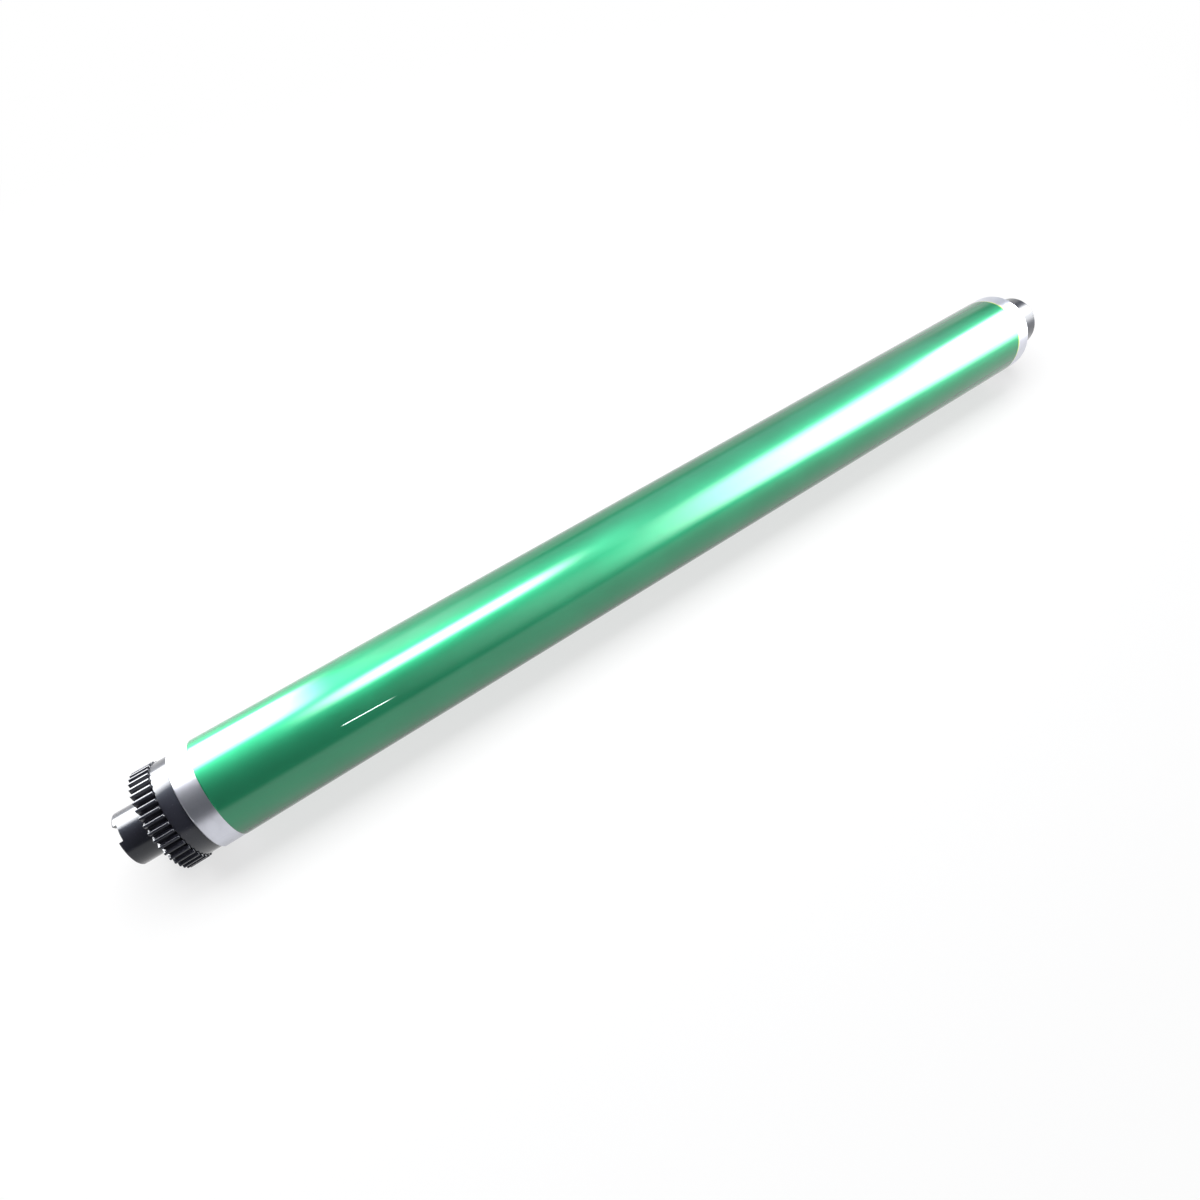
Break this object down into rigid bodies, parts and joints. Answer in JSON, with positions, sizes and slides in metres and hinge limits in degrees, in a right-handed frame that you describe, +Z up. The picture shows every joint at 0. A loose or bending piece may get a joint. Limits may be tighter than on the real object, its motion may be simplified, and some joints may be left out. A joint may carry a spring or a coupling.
{
  "type": "printer drum",
  "caption": "Photosensitive drum of a printer or copier: green-coated aluminium tube with a black plastic gear flange at one end and a bearing flange at the other",
  "frame": {"origin": "on the axis, in the plane of the tube's end face at the gear end", "axes": "+X along the axis from the gear end to the plain end, +Z up, +Y to the back"},
  "size_m": [0.3624, 0.0302, 0.0302],
  "materials": {
    "tube_metal": "turned and polished",
    "green_coating": "glossy thin film",
    "black_plastic": "glossy moulded",
    "spring_metal": "stamped sheet"
  },
  "bodies": {
    "root": {"drum_tube": "tube_metal", "photoconductor_coating": "green_coating", "drive_gear_flange": "black_plastic", "plain_end_flange": "black_plastic", "ground_contact_plate": "spring_metal"}
  },
  "joints": []
}
